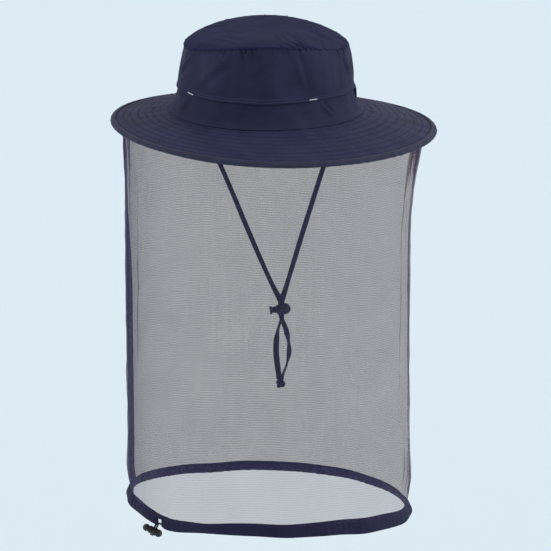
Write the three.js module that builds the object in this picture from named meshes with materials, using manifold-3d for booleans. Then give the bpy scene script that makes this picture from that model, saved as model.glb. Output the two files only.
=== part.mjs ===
// Beekeeping veil: a stiff-brimmed bucket hat with a tube of fine netting that hangs to a drawcord hem,
// a chin strap with a cord lock, and a cord lock on the hem.
// Millimetres. +Z is up and the wearer looks along -Y. The origin is the centre of the head opening,
// in the plane of the seam between crown and brim.
import * as THREE from 'three';
import { mergeVertices } from 'three/addons/utils/BufferGeometryUtils.js';
import Module from 'manifold-3d';

const wasm = await Module();
wasm.setup();

// ---- Driving dimensions ----
const ROUND = 40; // facets round the hat, brim and net
const GAP = 0.3; // clearance between sewn layers

const HEAD_R = 89.4; // inside of the sweatband, about a 56 cm head
const CROWN_TOP_Z = 77; // mean height of the crown's top seam
const CROWN_DIP = 6.8; // the top seam droops by this much at the sides, and rises as much front and back
const CROWN_BACK_DROP = 2; // the seam's back is this much lower, and its front this much higher
const CROWN_SEAM_R = 87;
const CROWN_SHIFT = -2; // the soft crown leans a little to -X
const FLAP_Z = 26; // lower edge of the upper crown panel, which overlaps the band

const BRIM_IN_R = 96.5;
const BRIM_OUT_R = 172.5;
const BRIM_SHIFT = 5; // the brim's rim lies this far to +X
const BRIM_ROOT_Z = -2.2; // middle of the brim's stack where it meets the crown
const BRIM_RIM_Z = -20.4; // mean height of the rim
const BRIM_BOW = 1.15; // how the brim's slope steepens outwards
const STIFFENER = 1.2;
const FABRIC = 0.5;
const BINDING_REACH = 6; // how far the edge binding laps over each face

const NET_TOP_R = 158.2;
const NET_THICKNESS = 0.6;
const NET_TOP_SHIFT = 4;
const NET_HEM_GAP = 1; // the net ends this far above the hem's channel
const HEM_MID_Z = -424.5;
const HEM_SLOPE = -0.0657; // the hem hangs lower at +X
const HEM_R = 149.4; // centre of the hem's channel
const HEM_HEIGHT = 13.9;
const HEM_THICKNESS = 5.2;
const HEM_WALL = 0.9;
const HEM_GAP_DEG = 219; // where the hem is split for its drawcord
const HEM_GAP_WIDTH = 8;
const HEM_SAG = { deg: 215, depth: 4, spread: 30 }; // the hem sags broadly round its cord lock
const HEM_DROOP = { deg: 226, depth: 6, spread: 16 }; // and more sharply just past it
const DRAWCORD_D = 2;

const STRAP_Y = -45; // plane that the chin strap hangs in
const STRAP_WIDTH = 5.6;
const STRAP_THICKNESS = 1.3;
const STRAP_SPACING = 0.9; // each strap lies this far from the plane, one on each side
const ANCHOR_DEG = 30; // the strap's anchors sit this far forward of the hat's sides
const LOCK_AT = new THREE.Vector3(13, STRAP_Y, -207.6);
const KNOT_AT = new THREE.Vector3(12, STRAP_Y, -289);
const KNOT_R = 4.8;

const TOGGLE_DROP = 13; // from the middle of the hem's split to the toggle's centre, along the cord
const TOGGLE_TILT = THREE.MathUtils.degToRad(27);

// ---- Helpers ----
const group = new THREE.Group();

function finish(colour, roughness, metalness = 0) {
  return new THREE.MeshStandardMaterial({ color: colour, roughness, metalness });
}

const NAVY = finish(0x2c2f46, 0.9);
const NAVY_BRIM = finish(0x32344e, 0.9);
const NAVY_TAPE = finish(0x1f1f30, 0.85);
const NET_GREY = finish(0x9a9aa4, 0.9);
const FOAM = finish(0x202433, 0.95);
const STIFF_WHITE = finish(0xd8d8d4, 0.7);
const REFLECTIVE = finish(0xd9dbe2, 0.5);
const BLACK_PLASTIC = finish(0x17171c, 0.45);
const STEEL = finish(0xb5b8bc, 0.3, 1);

function signedVolume(geometry) {
  const p = geometry.getAttribute('position');
  const index = geometry.getIndex().array;
  const [a, b, c] = [new THREE.Vector3(), new THREE.Vector3(), new THREE.Vector3()];
  let sum = 0;
  for (let i = 0; i < index.length; i += 3) {
    a.fromBufferAttribute(p, index[i]);
    b.fromBufferAttribute(p, index[i + 1]);
    c.fromBufferAttribute(p, index[i + 2]);
    sum += a.dot(b.cross(c)) / 6;
  }
  return sum;
}

// Merges shared vertices, drops triangles with no area and turns the faces outwards.
function solid(geometry) {
  geometry.deleteAttribute('normal');
  geometry.deleteAttribute('uv');
  const merged = mergeVertices(geometry, 1e-3);
  const index = merged.getIndex().array;
  const kept = [];
  for (let i = 0; i < index.length; i += 3) {
    const [a, b, c] = [index[i], index[i + 1], index[i + 2]];
    if (a !== b && b !== c && c !== a) {
      kept.push(a, b, c);
    }
  }
  merged.setIndex(kept);
  if (signedVolume(merged) < 0) {
    merged.setIndex(kept.reverse());
  }
  merged.computeVertexNormals();
  return merged;
}

// A ring or cap: a profile of [radius, height] turned round Z. warp(r, angle, z) moves each point.
function revolve(profile, warp = null, closed = true, facets = ROUND) {
  const points = profile.map(([r, z]) => new THREE.Vector2(r, z));
  if (closed) {
    points.push(points[0].clone());
  }
  const geometry = new THREE.LatheGeometry(points, facets);
  geometry.rotateX(Math.PI / 2);
  if (warp) {
    const p = geometry.getAttribute('position');
    for (let i = 0; i < p.count; i++) {
      const r = Math.hypot(p.getX(i), p.getY(i));
      const angle = Math.atan2(p.getY(i), p.getX(i));
      p.setXYZ(i, ...warp(r, angle, p.getZ(i)));
    }
  }
  return solid(geometry);
}

// A section swept along a path. The section's x is along the path's first normal.
function sweep(section, path, steps) {
  return solid(new THREE.ExtrudeGeometry(section, { steps, bevelEnabled: false, extrudePath: path }));
}

function polygon(points) {
  return new THREE.Shape(points.map(([x, y]) => new THREE.Vector2(x, y)));
}

function roundSection(radius, sides) {
  const corners = [];
  for (let i = 0; i < sides; i++) {
    const angle = (2 * Math.PI * i) / sides;
    corners.push([radius * Math.cos(angle), radius * Math.sin(angle)]);
  }
  return polygon(corners);
}

function tapeSection(thickness, width) {
  const [x, y] = [thickness / 2, width / 2];
  const c = Math.min(thickness, width) * 0.3;
  return polygon([
    [-x + c, -y], [x - c, -y], [x, -y + c], [x, y - c],
    [x - c, y], [-x + c, y], [-x, y - c], [-x, -y + c],
  ]);
}

function curveThrough(points) {
  return new THREE.CatmullRomCurve3(points.map((p) => new THREE.Vector3(...p)), false, 'centripetal');
}

function toManifold(geometry) {
  const mesh = new wasm.Mesh({
    numProp: 3,
    vertProperties: new Float32Array(geometry.getAttribute('position').array),
    triVerts: new Uint32Array(geometry.getIndex().array),
  });
  return new wasm.Manifold(mesh);
}

function cut(geometry, ...tools) {
  let result = toManifold(geometry);
  for (const tool of tools) {
    result = result.subtract(toManifold(solid(tool)));
  }
  const mesh = result.getMesh();
  const made = new THREE.BufferGeometry();
  made.setAttribute('position', new THREE.BufferAttribute(mesh.vertProperties, 3));
  made.setIndex(Array.from(mesh.triVerts));
  made.computeVertexNormals();
  return made;
}

function add(name, geometry, material, parent = group) {
  const mesh = new THREE.Mesh(geometry, material);
  mesh.name = name;
  parent.add(mesh);
  return mesh;
}

// ---- Crown ----
// The crown's soft shell: the top seam waves round the head, and the shell leans a little to one side.
function crownWarp(r, angle, z) {
  const wave = -CROWN_DIP * Math.cos(2 * angle) - CROWN_BACK_DROP * Math.sin(angle);
  const height = Math.max(0, (z - FLAP_Z) / (CROWN_TOP_Z - FLAP_Z));
  const reach = Math.min(1, r / CROWN_SEAM_R) ** 2;
  return [r * Math.cos(angle) + CROWN_SHIFT, r * Math.sin(angle), z + wave * height * reach];
}

function makeCrown() {
  const top = [
    [0, 87.5], [40, 86.5], [70, 82.5], [84, 78.6], [87.4, CROWN_TOP_Z],
    [87.4, 76.2], [83.6, 76.6], [69.6, 80.6], [39.8, 84.6], [0, 85.6],
  ];
  add('crown_top', revolve(top, crownWarp, false), NAVY);

  const side = [[CROWN_SEAM_R, 75.8], [90.8, 52], [95.4, FLAP_Z], [94.2, FLAP_Z], [89.6, 52], [86, 75.8]];
  add('crown_side', revolve(side, crownWarp), NAVY);

  const band = [
    [92.5, 33], [93.7, 26.5], [94.8, 23.5], [96.4, 12], [98, 6], [102, 1.8], [102.6, 0.6],
    [101, 0.6], [96.8, 5], [95.2, 12], [93.4, 23.5], [92.5, 26.5], [91.3, 33],
  ];
  add('crown_band', revolve(band, crownWarp), NAVY);

  const vent = [[91.5, 27], [90.7, 34], [90, 46], [89.2, 46], [89.9, 34], [90.7, 27]];
  add('crown_vent_mesh', revolve(vent, crownWarp), NET_GREY);

  const lining = [
    [0, 85], [39.7, 84], [69.4, 80], [84, 75.4], [85.4, 73], [88.8, 46], [89.6, 28],
    [88.9, 28], [88.1, 46], [84.6, 72.8], [83.2, 75], [69, 79.4], [39.5, 83.4], [0, 84.4],
  ];
  add('crown_lining', revolve(lining, crownWarp, false), FOAM);

  const sweatband = [[HEAD_R, 1], [HEAD_R + 1.4, 1], [HEAD_R + 1.4, 20], [HEAD_R, 20]];
  add('sweatband', revolve(sweatband), FOAM);
}

// Four bar tacks hold the upper panel's free edge down over the vent.
function makeBarTacks() {
  const anglesDeg = [-147, -57.5, 30, 120];
  const tackR = 96.7;
  anglesDeg.forEach((deg, i) => {
    const angle = THREE.MathUtils.degToRad(deg);
    const tack = add(`bar_tack_${i + 1}`, solid(new THREE.BoxGeometry(1, 8, 3)), REFLECTIVE);
    tack.position.set(tackR * Math.cos(angle) + CROWN_SHIFT, tackR * Math.sin(angle), FLAP_Z + 2.5);
    tack.rotation.z = angle;
  });
}

// A folded webbing tab sewn to the band, for hanging the hat up.
function makeHangTab() {
  const outline = polygon([[-1.2, -6], [1.2, -6], [1.2, 6], [-1.2, 6]]);
  const inside = [[-0.4, -4], [-0.4, 4], [0.4, 4], [0.4, -4]];
  outline.holes.push(new THREE.Path(inside.map((p) => new THREE.Vector2(...p))));
  const geometry = new THREE.ExtrudeGeometry(outline, { depth: 8, bevelEnabled: false });
  geometry.translate(0, 0, -4);
  geometry.rotateX(Math.PI / 2);
  const tab = add('hang_tab', solid(geometry), NAVY_TAPE);
  tab.position.set(98.4 + CROWN_SHIFT, 0, 15.5);
}

// ---- Brim ----
function rimZ(angle) {
  return BRIM_RIM_Z - 5.8 * Math.cos(angle) + 2.2 * Math.cos(2 * angle) + 0.6 * Math.sin(angle);
}

function brimShare(r) {
  return Math.max(0, (r - BRIM_IN_R) / (BRIM_OUT_R - BRIM_IN_R));
}

// Height of the middle of the brim's stack.
function brimMid(r, angle) {
  return BRIM_ROOT_Z + (rimZ(angle) - BRIM_ROOT_Z) * brimShare(r) ** BRIM_BOW;
}

function brimWarp(r, angle, z) {
  return [r * Math.cos(angle) + BRIM_SHIFT * brimShare(r), r * Math.sin(angle), brimMid(r, angle) + z];
}

function brimLayer(low, high) {
  const rim = BRIM_OUT_R - 1.5;
  const stations = [BRIM_IN_R, 121, 146, rim];
  const over = stations.map((r) => [r, high]);
  const under = stations.map((r) => [r, low]).reverse();
  return revolve([...over, ...under], brimWarp);
}

function makeBrim() {
  const core = STIFFENER / 2;
  const skin = core + GAP + FABRIC;
  add('brim_stiffener', brimLayer(-core, core), STIFF_WHITE);
  add('brim_top_fabric', brimLayer(core + GAP, skin), NAVY_BRIM);
  add('brim_under_fabric', brimLayer(-skin, -core - GAP), NAVY_BRIM);
  const lip = skin + GAP;
  const inner = BRIM_OUT_R - BINDING_REACH;
  const web = BRIM_OUT_R - 1.2;
  const binding = [
    [inner, lip], [web, lip], [web, -lip], [inner, -lip],
    [inner, -lip - 0.6], [BRIM_OUT_R - 1, -lip - 0.6], [BRIM_OUT_R, -lip + 0.4],
    [BRIM_OUT_R, lip - 0.4], [BRIM_OUT_R - 1, lip + 0.6], [inner, lip + 0.6],
  ];
  add('brim_binding', revolve(binding, brimWarp), NAVY_TAPE);
}

// ---- Net ----
// Radius and sideways shift of the net at a share of its height, from 0 at the brim to 1 at the hem.
const NET_SHAPE = [
  { share: 0, r: NET_TOP_R, shift: NET_TOP_SHIFT },
  { share: 0.06, r: 156, shift: 2.5 },
  { share: 0.14, r: 153, shift: 0.5 },
  { share: 0.25, r: 150.6, shift: -1.2 },
  { share: 0.55, r: 149.9, shift: -1.4 },
  { share: 0.85, r: 149.2, shift: -0.6 },
  { share: 1, r: 150, shift: 0.2 },
];

function netTopZ(angle) {
  return brimMid(NET_TOP_R, angle) - STIFFENER / 2 - FABRIC - 2.5 * GAP;
}

function dipAt(angle, dip) {
  const away = THREE.MathUtils.radToDeg(angle) - dip.deg;
  const turned = ((away + 540) % 360) - 180;
  return dip.depth * Math.exp(-((turned / dip.spread) ** 2));
}

function hemZ(x, angle) {
  return HEM_MID_Z + HEM_SLOPE * x - dipAt(angle, HEM_SAG) - dipAt(angle, HEM_DROOP);
}

function netBottomZ(angle) {
  return hemZ(HEM_R * Math.cos(angle), angle) + HEM_HEIGHT / 2 + NET_HEM_GAP;
}

// The profile's height is a share of the net's drop, which the warp spreads from brim to hem.
function netWarp(r, angle, share) {
  const next = Math.max(1, NET_SHAPE.findIndex((s) => s.share >= share - 1e-6));
  const [above, below] = [NET_SHAPE[next - 1], NET_SHAPE[next]];
  const t = (share - above.share) / (below.share - above.share);
  const shift = above.shift + (below.shift - above.shift) * t;
  const z = netTopZ(angle) * (1 - share) + netBottomZ(angle) * share;
  return [r * Math.cos(angle) + shift, r * Math.sin(angle), z];
}

function makeNet() {
  const outer = NET_SHAPE.map(({ share, r }) => [r, share]);
  const inner = NET_SHAPE.map(({ share, r }) => [r - NET_THICKNESS, share]).reverse();
  add('net', revolve([...outer, ...inner], netWarp), NET_GREY);

  const headerR = NET_TOP_R - NET_THICKNESS - GAP;
  const headerWarp = (r, angle, z) => {
    const [x, y] = [r * Math.cos(angle), r * Math.sin(angle)];
    return [x + NET_TOP_SHIFT, y, netTopZ(angle) + z];
  };
  const header = [[headerR, 0.3], [headerR - 1, 0.3], [headerR - 3.2, -9], [headerR - 2.2, -9]];
  add('net_header_tape', revolve(header, headerWarp), NAVY_TAPE);

  // The net's two ends are sewn together at -X, and a tape binds the seam's fin, which stands inwards.
  const seamDeg = 4;
  const finWidth = 7;
  const finThickness = 1.4;
  const angle = Math.PI + THREE.MathUtils.degToRad(seamDeg);
  const [top, bottom] = [netTopZ(angle), netBottomZ(angle)];
  const inset = NET_THICKNESS + 2 * GAP + finWidth / 2;
  const route = NET_SHAPE.slice(2).map(({ share, r, shift }) => {
    const z = top * (1 - share) + bottom * share + (share === 1 ? 1 : 0);
    return [shift - r + inset, 0, z];
  });
  const tape = sweep(tapeSection(finThickness, finWidth), curveThrough(route), 10);
  const seam = add('net_seam_tape', tape, NAVY_TAPE);
  seam.rotation.z = THREE.MathUtils.degToRad(seamDeg);
}

// ---- Hem, its drawcord and its cord lock ----
class HemArc extends THREE.Curve {
  constructor(fromDeg, toDeg) {
    super();
    this.from = THREE.MathUtils.degToRad(fromDeg);
    this.to = THREE.MathUtils.degToRad(toDeg);
  }

  getPoint(t, target = new THREE.Vector3()) {
    const angle = this.from + (this.to - this.from) * t;
    return target.set(HEM_R * Math.cos(angle), HEM_R * Math.sin(angle), 0);
  }
}

function hemBand() {
  const halfGapDeg = THREE.MathUtils.radToDeg(HEM_GAP_WIDTH / 2 / HEM_R);
  const arc = new HemArc(HEM_GAP_DEG + halfGapDeg, HEM_GAP_DEG + 360 - halfGapDeg);
  const [x, y] = [HEM_HEIGHT / 2, HEM_THICKNESS / 2];
  const section = polygon([[-x, -y], [x, -y], [x, y], [-x, y]]);
  const [hx, hy] = [x - HEM_WALL, y - HEM_WALL];
  const channel = [[-hx, -hy], [-hx, hy], [hx, hy], [hx, -hy]];
  section.holes.push(new THREE.Path(channel.map((p) => new THREE.Vector2(...p))));
  const geometry = sweep(section, arc, 48);
  const p = geometry.getAttribute('position');
  for (let i = 0; i < p.count; i++) {
    p.setZ(i, p.getZ(i) + hemZ(p.getX(i), Math.atan2(p.getY(i), p.getX(i))));
  }
  return geometry;
}

const gapAngle = THREE.MathUtils.degToRad(HEM_GAP_DEG);
const gapX = HEM_R * Math.cos(gapAngle);
const gapMid = new THREE.Vector3(gapX, HEM_R * Math.sin(gapAngle), hemZ(gapX, gapAngle));
const cordUp = new THREE.Vector3(Math.sin(TOGGLE_TILT), 0, Math.cos(TOGGLE_TILT));
const cordAcross = new THREE.Vector3(Math.cos(TOGGLE_TILT), 0, -Math.sin(TOGGLE_TILT));
const TOGGLE_AT = gapMid.clone().addScaledVector(cordUp, -TOGGLE_DROP);

// One tail of the drawcord: from below the toggle up into the hem's channel. side is 1 or -1.
function drawcordTail(side) {
  const along = (up) => TOGGLE_AT.clone()
    .addScaledVector(cordUp, up)
    .addScaledVector(cordAcross, side * (DRAWCORD_D / 2 + 0.1));
  const inHem = (deg, rise) => {
    const angle = THREE.MathUtils.degToRad(HEM_GAP_DEG + side * deg);
    const x = HEM_R * Math.cos(angle);
    return new THREE.Vector3(x, HEM_R * Math.sin(angle), hemZ(x, angle) + rise);
  };
  return [along(-4.9), along(0), along(5), along(10), inHem(1.1, -3.4), inHem(2.6, -1), inHem(5, 0)];
}

function makeHem() {
  add('hem_band', hemBand(), NAVY_TAPE);
  const points = drawcordTail(1);
  for (let deg = 15; deg < 350; deg += 10) {
    const angle = THREE.MathUtils.degToRad(HEM_GAP_DEG + deg);
    const x = HEM_R * Math.cos(angle);
    points.push(new THREE.Vector3(x, HEM_R * Math.sin(angle), hemZ(x, angle)));
  }
  points.push(...drawcordTail(-1).reverse());
  const route = new THREE.CatmullRomCurve3(points, false, 'centripetal');
  add('hem_drawcord', sweep(roundSection(DRAWCORD_D / 2, 8), new SpacedCurve(route), 84), NAVY_TAPE);
  const knot = add('hem_cord_knot', solid(new THREE.IcosahedronGeometry(2.3, 1)), NAVY_TAPE);
  knot.position.copy(TOGGLE_AT).addScaledVector(cordUp, -7.7);
}

// A cord's ends need short steps and its round stretch long ones, so this spaces a curve by its points.
class SpacedCurve extends THREE.Curve {
  constructor(base) {
    super();
    this.base = base;
  }

  getPoint(t, target = new THREE.Vector3()) {
    return this.base.getPoint(t, target);
  }

  getPointAt(t, target) {
    return this.getPoint(t, target);
  }

  getTangentAt(t, target) {
    return this.base.getTangent(t, target);
  }
}

// A helix about X, for a spring.
class Helix extends THREE.Curve {
  constructor(from, to, radius, turns) {
    super();
    Object.assign(this, { from, to, radius, turns });
  }

  getPoint(t, target = new THREE.Vector3()) {
    const angle = 2 * Math.PI * this.turns * t;
    const x = this.from + (this.to - this.from) * t;
    return target.set(x, this.radius * Math.cos(angle), this.radius * Math.sin(angle));
  }
}

// A spring cord lock about local X, with its cords along local Z and its button at -X.
// Profiles are [along, radius]. The button's slot is longer than the barrel's by its travel.
function makeLock(prefix, lock, parent) {
  const turned = (profile) => {
    const geometry = revolve(profile.map(([along, r]) => [r, along]), null, false, 20);
    geometry.rotateY(Math.PI / 2);
    return geometry;
  };
  const slot = (from, to) => {
    const box = new THREE.BoxGeometry(to - from, 2 * lock.slotY, 30);
    box.translate((from + to) / 2, 0, 0);
    return box;
  };
  const boreFrom = lock.barrel[0][0] - 1;
  const bore = turned([[boreFrom, 0], [boreFrom, lock.boreR], [lock.boreEnd, lock.boreR], [lock.boreEnd, 0]]);
  const barrel = cut(turned(lock.barrel), bore, slot(-lock.slotX, lock.slotX));
  add(`${prefix}_barrel`, barrel, BLACK_PLASTIC, parent);
  const plunger = cut(turned(lock.plunger), slot(-lock.slotX - lock.travel, lock.slotX));
  add(`${prefix}_plunger`, plunger, BLACK_PLASTIC, parent);
  const inset = GAP + lock.wire / 2;
  const stemEnd = lock.plunger.at(-1)[0];
  const coil = new Helix(stemEnd + inset, lock.boreEnd - inset, lock.springR, 2.5);
  add(`${prefix}_spring`, sweep(roundSection(lock.wire / 2, 6), coil, 30), STEEL, parent);
}

function arcProfile(centre, radius, fromDeg, toDeg, steps) {
  const points = [];
  for (let i = 0; i <= steps; i++) {
    const angle = THREE.MathUtils.degToRad(fromDeg + ((toDeg - fromDeg) * i) / steps);
    points.push([centre + radius * Math.cos(angle), radius * Math.sin(angle)]);
  }
  return points;
}

function makeHemToggle() {
  const at = new THREE.Group();
  at.position.copy(TOGGLE_AT);
  at.rotation.y = TOGGLE_TILT;
  group.add(at);
  const r = 4.15;
  makeLock('hem_toggle', {
    barrel: [[-5.2, 0], [-5.2, r - 0.4], [-4.8, r], ...arcProfile(9.6 - r, r, 90, 0, 5)],
    plunger: [...arcProfile(-8.8, 3.9, 180, 95, 4), [-8.1, 3.9], [-8.1, 2.6], [3.4, 2.6], [3.4, 0]],
    boreR: 2.95,
    boreEnd: 7.4,
    slotX: 2.5,
    slotY: 1.35,
    travel: 2.2,
    springR: 1.9,
    wire: 0.5,
  }, at);
}

// ---- Chin strap ----
function makeAnchors() {
  for (const [side, name] of [[-1, 'chin_anchor_left'], [1, 'chin_anchor_right']]) {
    const angle = -Math.PI / 2 + side * THREE.MathUtils.degToRad(90 - ANCHOR_DEG);
    const anchor = add(name, solid(new THREE.BoxGeometry(1.4, 10, 13)), NAVY_TAPE);
    anchor.position.set(88.3 * Math.cos(angle), 88.3 * Math.sin(angle), 3);
    anchor.rotation.z = angle;
  }
}

// Each strap runs from its anchor down to the lock, through it, and on to the knot. Points are [x, z].
const STRAP_ROUTES = {
  left: [
    [-76.2, -4.7], [-68.5, -18], [-55, -43], [-39, -80], [-23.2, -119], [-7.2, -157], [5, -184],
    [10.4, -194.5], [12.6, -200], [13, -204], [13, -212], [12.4, -219], [9.8, -229], [7.8, -243],
    [7.7, -257], [9.3, -271], [10.2, -278], [10.4, -283.6],
  ],
  right: [
    [76.2, -4.5], [70.8, -18], [60.5, -45], [49.3, -80], [37.6, -118], [26, -157], [18, -184],
    [14.7, -195], [13.2, -200.5], [13, -204], [13, -212], [13.9, -219], [17.6, -229], [20.6, -242],
    [21.2, -256], [18.4, -269.5], [15.2, -278], [14, -283.6],
  ],
};

function makeChinStrap() {
  const section = tapeSection(STRAP_THICKNESS, STRAP_WIDTH);
  const sides = { left: -1, right: 1 };
  for (const [name, route] of Object.entries(STRAP_ROUTES)) {
    const y = STRAP_Y + sides[name] * STRAP_SPACING;
    const curve = curveThrough(route.map(([x, z]) => [x, y, z]));
    add(`chin_cord_${name}`, sweep(section, curve, 44), NAVY_TAPE);
  }
  const knot = add('chin_knot', solid(new THREE.IcosahedronGeometry(KNOT_R, 2)), NAVY_TAPE);
  knot.position.copy(KNOT_AT);
}

function makeChinLock() {
  const at = new THREE.Group();
  at.position.copy(LOCK_AT);
  group.add(at);
  makeLock('chin_lock', {
    barrel: [[-5.2, 0], [-5.2, 4.5], [-4.8, 4.9], [0, 4.9], ...arcProfile(4.1, 5.6, 118, 0, 7)],
    plunger: [[-12.4, 0], [-12.4, 3.9], [-11.8, 4.5], [-9.4, 4.5], [-8.4, 3.5], [3.9, 3.5], [3.9, 0]],
    boreR: 3.9,
    boreEnd: 7.4,
    slotX: STRAP_WIDTH / 2 + 0.4,
    slotY: STRAP_SPACING + STRAP_THICKNESS / 2 + 0.35,
    travel: 2.2,
    springR: 2.5,
    wire: 0.5,
  }, at);
}

makeCrown();
makeBarTacks();
makeHangTab();
makeBrim();
makeNet();
makeHem();
makeHemToggle();
makeAnchors();
makeChinStrap();
makeChinLock();

export default group;
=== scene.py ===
import math
import bpy
import bmesh
import numpy as np
from mathutils import Matrix, Vector


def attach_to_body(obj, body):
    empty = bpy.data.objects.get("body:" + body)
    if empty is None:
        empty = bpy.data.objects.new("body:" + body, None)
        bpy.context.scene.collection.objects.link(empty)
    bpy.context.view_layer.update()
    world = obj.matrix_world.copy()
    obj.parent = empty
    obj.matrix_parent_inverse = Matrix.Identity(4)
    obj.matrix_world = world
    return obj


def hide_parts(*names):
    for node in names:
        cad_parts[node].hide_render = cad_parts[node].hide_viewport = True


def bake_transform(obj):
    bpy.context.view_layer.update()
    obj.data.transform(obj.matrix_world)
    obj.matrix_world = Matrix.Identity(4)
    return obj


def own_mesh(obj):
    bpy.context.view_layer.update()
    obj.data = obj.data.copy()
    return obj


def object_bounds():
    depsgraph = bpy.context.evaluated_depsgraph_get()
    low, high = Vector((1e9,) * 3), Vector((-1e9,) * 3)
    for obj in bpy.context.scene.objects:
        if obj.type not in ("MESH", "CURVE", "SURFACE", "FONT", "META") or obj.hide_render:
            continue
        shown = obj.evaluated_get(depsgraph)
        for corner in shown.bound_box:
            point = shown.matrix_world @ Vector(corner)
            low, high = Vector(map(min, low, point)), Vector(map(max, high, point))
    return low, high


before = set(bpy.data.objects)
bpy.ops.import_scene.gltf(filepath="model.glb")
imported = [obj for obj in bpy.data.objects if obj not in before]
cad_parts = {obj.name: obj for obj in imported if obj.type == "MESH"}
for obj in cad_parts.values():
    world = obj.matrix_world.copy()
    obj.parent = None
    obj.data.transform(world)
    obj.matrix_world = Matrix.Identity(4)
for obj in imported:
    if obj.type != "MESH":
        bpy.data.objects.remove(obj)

CAD_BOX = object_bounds()
MM = 0.001

# ---- Sizes shared with the CAD, in millimetres ----
CROWN_SEAM_R, CROWN_TOP_Z, CROWN_RISE, FLAP_Z = 87.0, 77.0, 8.8, 26.0
CROWN_DIP, CROWN_BACK_DROP = 6.8, 2.0
BRIM_IN_R, BRIM_OUT_R, BRIM_SHIFT = 96.5, 172.5, 5.0
BRIM_ROOT_Z, BRIM_RIM_Z, BRIM_BOW = -2.2, -20.4, 1.15
BRIM_HALF = 1.4  # from the middle of the brim's stack to its skin
NET_TOP_R, NET_TOP_SHIFT = 158.2, 4.0
# Columns: share of the drop, radius, shift to +X.
NET_SHAPE = np.array([
    [0, 158.2, 4], [0.06, 156, 2.5], [0.14, 153, 0.5], [0.25, 150.6, -1.2],
    [0.55, 149.9, -1.4], [0.85, 149.2, -0.6], [1, 150, 0.2],
])
HEM_MID_Z, HEM_SLOPE, HEM_R, HEM_HEIGHT = -424.5, -0.0657, 149.4, 13.9
HEM_GAP_DEG, HEM_GAP_WIDTH = 219.0, 8.0
# Where the hem hangs lower or, below zero, higher: degrees, depth, spread.
HEM_DIPS = ((215, 4, 30), (226, 6, 16), (247, 1.3, 12), (305, -4.3, 30), (50, -2.6, 32), (122, 3.1, 26))
SPLIT_Z = -58.0  # the net above this tilted plane stays with the brim
SEAM_DEG = 184.0
TACK_DEGS = (-147, -57.5, 30, 120)
TACK_R, TACK_SHIFT = 94.1, -3.7
STRAP_Y, STRAP_WIDTH, STRAP_THICKNESS, STRAP_SPACING = -45.0, 5.6, 1.3, 0.9
ANCHOR_DEG, ANCHOR_R = 30, 88.3
LOCK_AT = np.array([13.0, STRAP_Y, -207.6])
KNOT_AT = np.array([12.0, STRAP_Y, -289.0])
TOGGLE_DROP, TOGGLE_TILT = 13.0, math.radians(27)

# ---- Camera ----
VIEW_ELEVATION = math.radians(13.2)
VIEW_DISTANCE = 24.0
VIEW_WIDTH = 0.584
VIEW_CENTRE = Vector((0.0069, 0.0, -0.1817))


def make_camera():
    data = bpy.data.cameras.new("camera")
    data.sensor_width = 36
    data.lens = data.sensor_width * VIEW_DISTANCE / VIEW_WIDTH
    data.clip_end = 100
    camera = bpy.data.objects.new("camera", data)
    bpy.context.scene.collection.objects.link(camera)
    back = Vector((0, -math.cos(VIEW_ELEVATION), math.sin(VIEW_ELEVATION)))
    camera.location = VIEW_CENTRE + back * VIEW_DISTANCE
    camera.rotation_euler = (-back).to_track_quat("-Z", "Y").to_euler()
    bpy.context.scene.camera = camera


make_camera()


# ---- Mesh helpers ----
def new_object(name, mesh, material):
    obj = bpy.data.objects.new(name, mesh)
    bpy.context.scene.collection.objects.link(obj)
    mesh.materials.append(material)
    return obj


def grid(name, points, across, along, material, wrap=True, close=False, centre=False, cap=False, flip=False):
    """A mesh from points[row, column], in millimetres. Rows go down or outwards and columns anticlockwise,
    so that faces point out or up. wrap joins the last column to the first, and close the last row to the
    first. across and along are UV coordinates in metres at each column's and each row's edge. centre fills
    the first row's hole, and cap closes the two ends of a tube."""
    rows, cols = points.shape[:2]
    verts = (points * MM).reshape(-1, 3).tolist()
    col_pairs = [(i, (i + 1) % cols) for i in range(cols if wrap else cols - 1)]
    row_pairs = [(j, (j + 1) % rows) for j in range(rows if close else rows - 1)]
    faces = [(k * cols + a, k * cols + b, j * cols + b, j * cols + a)
             for j, k in row_pairs for a, b in col_pairs]
    across, along = np.asarray(across, float), np.asarray(along, float)
    i, j = np.meshgrid(np.arange(len(col_pairs)), np.arange(len(row_pairs)))
    corners = [(i, j + 1), (i + 1, j + 1), (i + 1, j), (i, j)]
    uvs = np.stack([np.stack([across[c], along[r]], -1) for c, r in corners], 2).reshape(-1, 2)
    if centre:
        verts.append((points[0].mean(0) * MM).tolist())
        faces += [(len(verts) - 1, a, b) for a, b in col_pairs]
        uvs = np.vstack([uvs, np.tile([[0.0, 0.0]], (3 * len(col_pairs), 1))])
    if cap:
        first = [j * cols for j in range(rows)]
        faces += [first, [index + cols - 1 for index in reversed(first)]]
        uvs = np.vstack([uvs, np.zeros((2 * rows, 2))])
    mesh = bpy.data.meshes.new(name)
    mesh.from_pydata(verts, [], faces)
    layer = mesh.uv_layers.new(name="metres")
    layer.data.foreach_set("uv", uvs.astype(np.float32).ravel())
    mesh.polygons.foreach_set("use_smooth", [True] * len(mesh.polygons))
    if flip:
        mesh.flip_normals()
    mesh.update()
    return new_object(name, mesh, material)


def outwards(obj, weld=False):
    """Turns all faces outwards, and with weld joins the points that lie together."""
    bm = bmesh.new()
    bm.from_mesh(obj.data)
    if weld:
        bmesh.ops.remove_doubles(bm, verts=bm.verts, dist=1e-6)
    bmesh.ops.recalc_face_normals(bm, faces=bm.faces)
    bm.to_mesh(obj.data)
    bm.free()
    return obj


def apply_modifiers(obj):
    graph = bpy.context.evaluated_depsgraph_get()
    mesh = bpy.data.meshes.new_from_object(obj.evaluated_get(graph), depsgraph=graph)
    obj.modifiers.clear()
    obj.data = mesh
    return obj


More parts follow.
